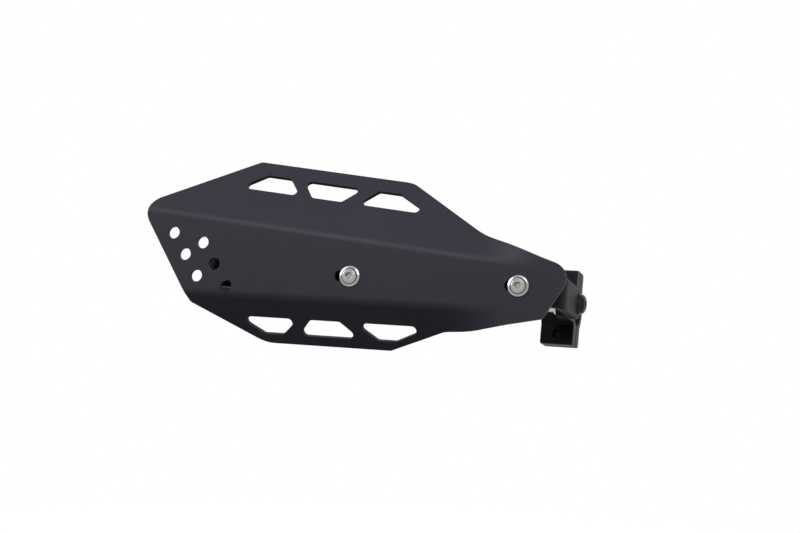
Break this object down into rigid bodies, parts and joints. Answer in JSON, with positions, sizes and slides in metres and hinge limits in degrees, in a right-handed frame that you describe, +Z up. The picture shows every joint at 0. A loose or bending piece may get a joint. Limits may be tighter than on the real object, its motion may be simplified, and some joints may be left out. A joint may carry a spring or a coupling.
{
  "type": "motorcycle hand guard",
  "caption": "Folded black alloy hand guard plate with cut-outs and vents, screwed to a U-shaped flat bar with a handlebar clamp and a bar-end expander.",
  "frame": {"origin": "middle of the handlebar clamp's bore, on the handlebar's axis", "axes": "+X along the handlebar towards the middle of the bike, +Y towards the rider, +Z up; the guard leans back by 10 degrees about the handlebar"},
  "size_m": [0.2869, 0.125, 0.119],
  "materials": {
    "plate": "satin black powder coat",
    "bar": "satin black powder coat",
    "clamp": "black anodised",
    "screws": "bright stainless",
    "black_steel": "black oxide",
    "zinc_steel": "bright zinc plate",
    "bare_alloy": "turned"
  },
  "bodies": {
    "root": {"guard_plate": "plate", "plate_screws": "screws", "plate_spacers": "bare_alloy", "plate_washers": "zinc_steel", "plate_nuts": "zinc_steel", "support_bar": "bar", "clamp_base": "clamp", "clamp_cap": "clamp", "clamp_washers": "zinc_steel", "clamp_screws": "black_steel", "arm_screw": "black_steel", "arm_washer": "zinc_steel", "arm_nut": "zinc_steel", "bar_end_screw": "black_steel", "bar_end_washer": "zinc_steel", "bar_end_collar": "bare_alloy", "expander_sleeve": "bare_alloy", "expander_cone": "zinc_steel"}
  },
  "joints": []
}
